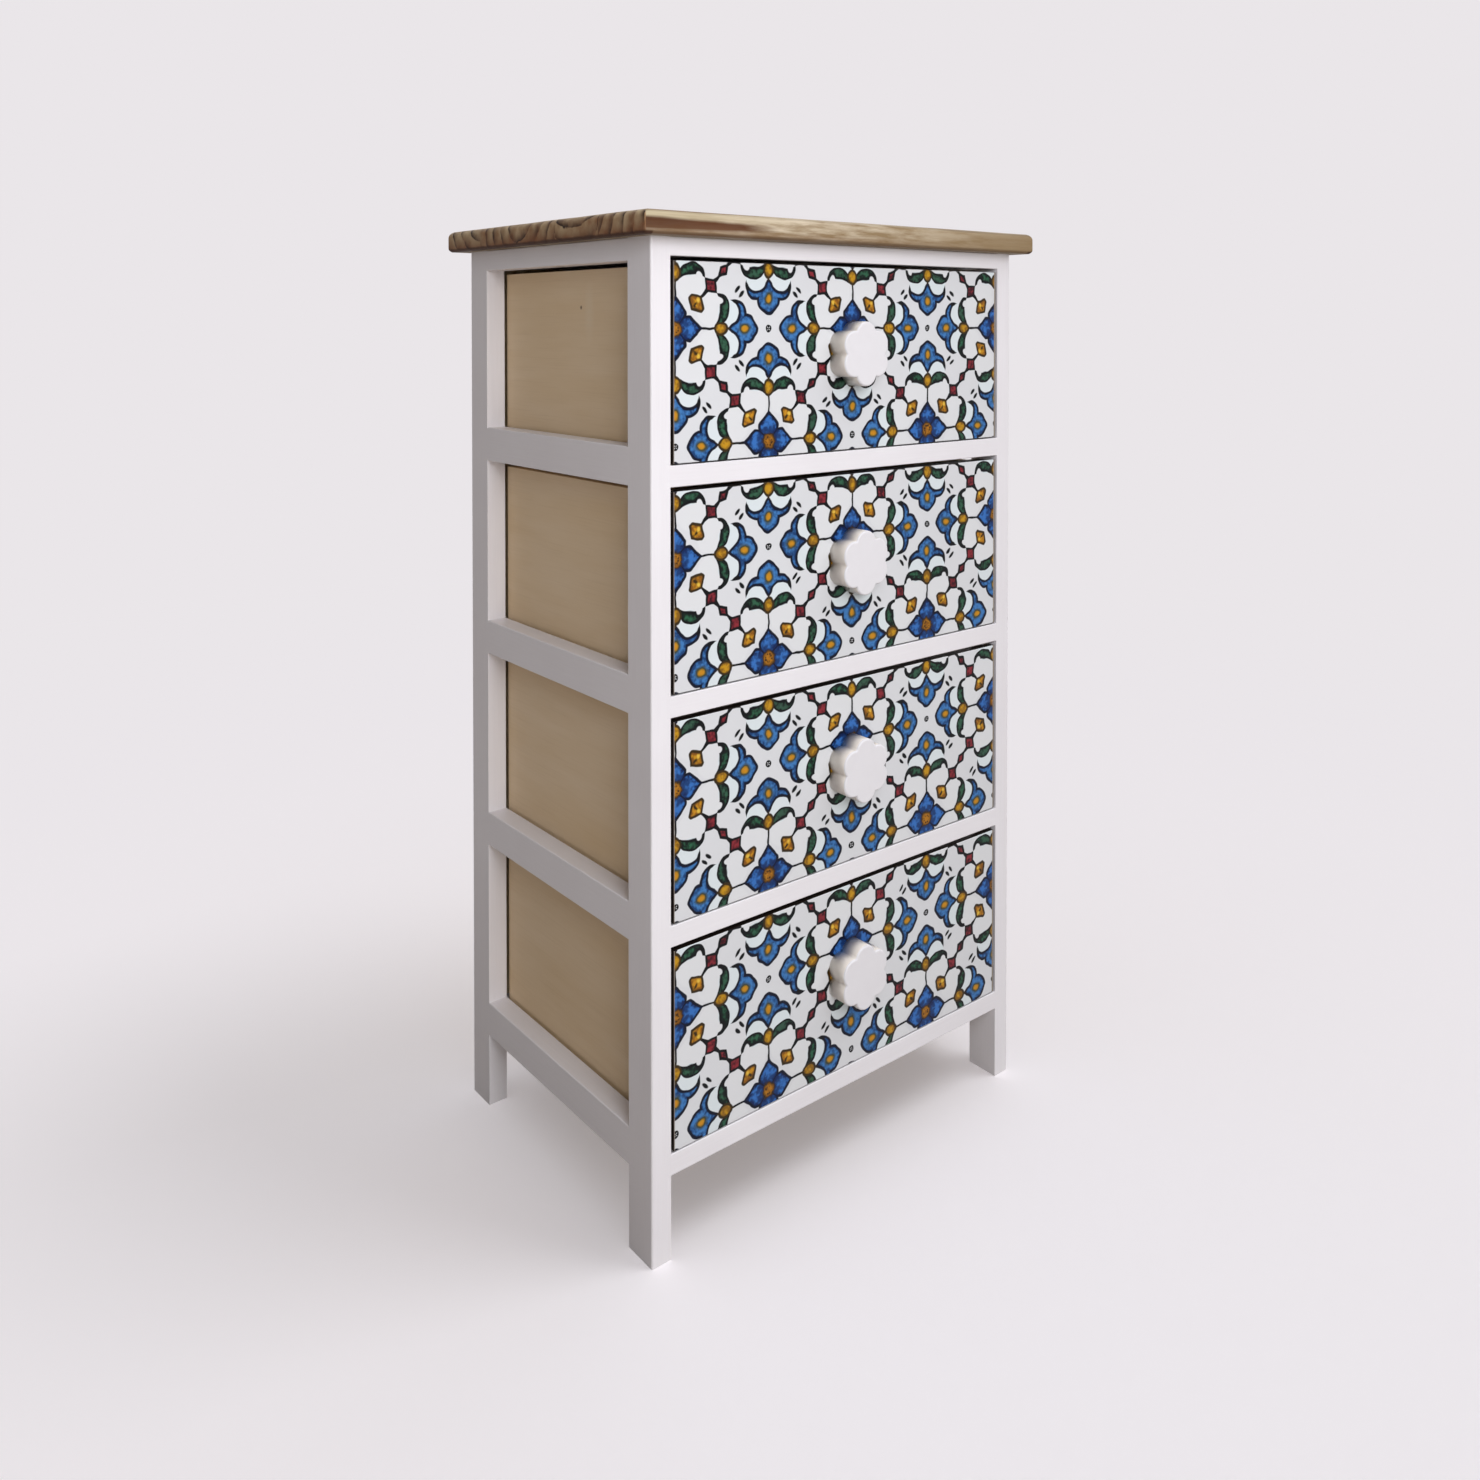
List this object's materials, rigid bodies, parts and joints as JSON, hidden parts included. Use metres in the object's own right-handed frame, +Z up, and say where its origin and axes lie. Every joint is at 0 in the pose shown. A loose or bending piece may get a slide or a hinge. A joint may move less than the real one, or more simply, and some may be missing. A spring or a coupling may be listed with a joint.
{
  "type": "chest of drawers",
  "caption": "Tall narrow chest of inset drawers on a slim post-and-rail frame with open sides, a solid wood top and petal-shaped knobs.",
  "frame": {"origin": "on the floor, under the middle of the whole piece's box, knobs and top board included", "axes": "+Z up, -Y towards the drawers' fronts, +X to the right as seen from the front"},
  "size_m": [0.4, 0.293, 0.72],
  "materials": {
    "burnt_wood": "scorched, brushed and waxed",
    "white_paint": "satin white paint on wood",
    "raw_wood": "planed, unpainted",
    "plywood": "sanded thin plywood",
    "beech": "turned dowel",
    "zinc_steel": "zinc plated",
    "tile_front": "white board printed with a traditional tile ornament in blue, green, amber and red",
    "knob_paint": "satin white paint"
  },
  "bodies": {
    "frame": {"top_board": "burnt_wood", "front_left_post": "white_paint", "front_right_post": "white_paint", "back_left_post": "white_paint", "back_right_post": "white_paint", "left_top_rail": "white_paint", "left_rail_1": "white_paint", "left_rail_2": "white_paint", "left_rail_3": "white_paint", "left_bottom_rail": "white_paint", "right_top_rail": "white_paint", "right_rail_1": "white_paint", "right_rail_2": "white_paint", "right_rail_3": "white_paint", "right_bottom_rail": "white_paint", "front_top_rail": "white_paint", "front_rail_1": "white_paint", "front_rail_2": "white_paint", "front_rail_3": "white_paint", "front_bottom_rail": "white_paint", "back_top_rail": "white_paint", "back_rail_1": "white_paint", "back_rail_2": "white_paint", "back_rail_3": "white_paint", "back_bottom_rail": "white_paint", "back_panel": "plywood", "left_runners": "raw_wood", "right_runners": "raw_wood", "frame_dowels": "beech", "runner_screws": "zinc_steel", "top_screws": "zinc_steel", "panel_nails": "zinc_steel"},
    "drawer_1": {"drawer_1_front": "tile_front", "drawer_1_left_side": "raw_wood", "drawer_1_right_side": "raw_wood", "drawer_1_back": "raw_wood", "drawer_1_bottom": "plywood", "drawer_1_knob": "knob_paint", "drawer_1_knob_screw": "zinc_steel"},
    "drawer_2": {"drawer_2_front": "tile_front", "drawer_2_left_side": "raw_wood", "drawer_2_right_side": "raw_wood", "drawer_2_back": "raw_wood", "drawer_2_bottom": "plywood", "drawer_2_knob": "knob_paint", "drawer_2_knob_screw": "zinc_steel"},
    "drawer_3": {"drawer_3_front": "tile_front", "drawer_3_left_side": "raw_wood", "drawer_3_right_side": "raw_wood", "drawer_3_back": "raw_wood", "drawer_3_bottom": "plywood", "drawer_3_knob": "knob_paint", "drawer_3_knob_screw": "zinc_steel"},
    "drawer_4": {"drawer_4_front": "tile_front", "drawer_4_left_side": "raw_wood", "drawer_4_right_side": "raw_wood", "drawer_4_back": "raw_wood", "drawer_4_bottom": "plywood", "drawer_4_knob": "knob_paint", "drawer_4_knob_screw": "zinc_steel"}
  },
  "joints": [
    {"name": "drawer_1_slide", "type": "slide", "parent": "frame", "child": "drawer_1", "axis": [0, -1, 0], "range_m": [0, 0.165]},
    {"name": "drawer_2_slide", "type": "slide", "parent": "frame", "child": "drawer_2", "axis": [0, -1, 0], "range_m": [0, 0.165]},
    {"name": "drawer_3_slide", "type": "slide", "parent": "frame", "child": "drawer_3", "axis": [0, -1, 0], "range_m": [0, 0.165]},
    {"name": "drawer_4_slide", "type": "slide", "parent": "frame", "child": "drawer_4", "axis": [0, -1, 0], "range_m": [0, 0.165]}
  ]
}
